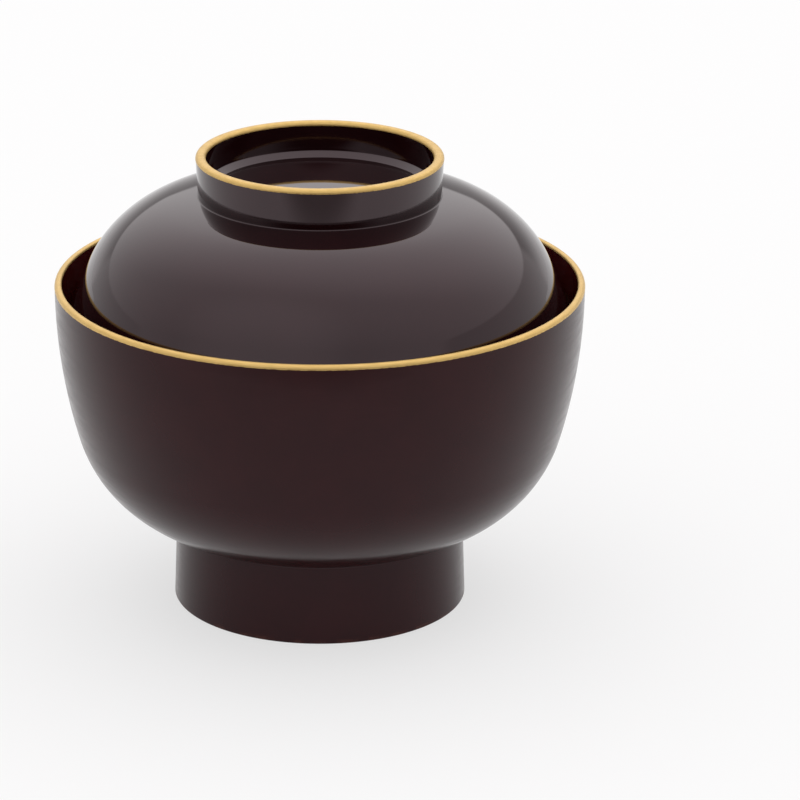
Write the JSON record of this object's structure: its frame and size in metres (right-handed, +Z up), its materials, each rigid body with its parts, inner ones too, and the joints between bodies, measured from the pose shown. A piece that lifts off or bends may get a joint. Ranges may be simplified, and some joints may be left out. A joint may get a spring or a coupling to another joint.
{
  "type": "lidded soup bowl",
  "caption": "Round lacquered soup bowl on a tall foot ring, with a domed lid that seats inside its mouth and a ring knob on top; gold lines on the rim and the knob.",
  "frame": {"origin": "centre of the foot ring, on the surface that the bowl stands on", "axes": "+Z up along the turning axis; X and Y are alike, because every piece is turned"},
  "size_m": [0.131, 0.131, 0.1146],
  "materials": {
    "core_wood": "bare turned wood under the lacquer, seen only at the foot's land",
    "bowl_lacquer": "dark red-brown lacquer, soft gloss",
    "inner_lacquer": "dark red-brown lacquer, full gloss",
    "lid_lacquer": "dark red-brown lacquer, polished to a full gloss",
    "gold_line": "gold dusted on lacquer by hand, satin"
  },
  "bodies": {
    "bowl": {"bowl_core": "core_wood", "bowl_outer_coat": "bowl_lacquer", "bowl_inner_coat": "inner_lacquer", "foot_well_coat": "bowl_lacquer", "rim_gold_line": "gold_line"},
    "lid": {"lid_core": "core_wood", "lid_outer_coat": "lid_lacquer", "lid_inner_coat": "inner_lacquer", "knob_well_coat": "lid_lacquer", "knob_gold_line": "gold_line"}
  },
  "joints": [
    {"name": "lid_lift", "type": "slide", "parent": "bowl", "child": "lid", "axis": [0, 0, 1], "range_m": [0, 0.08]}
  ]
}
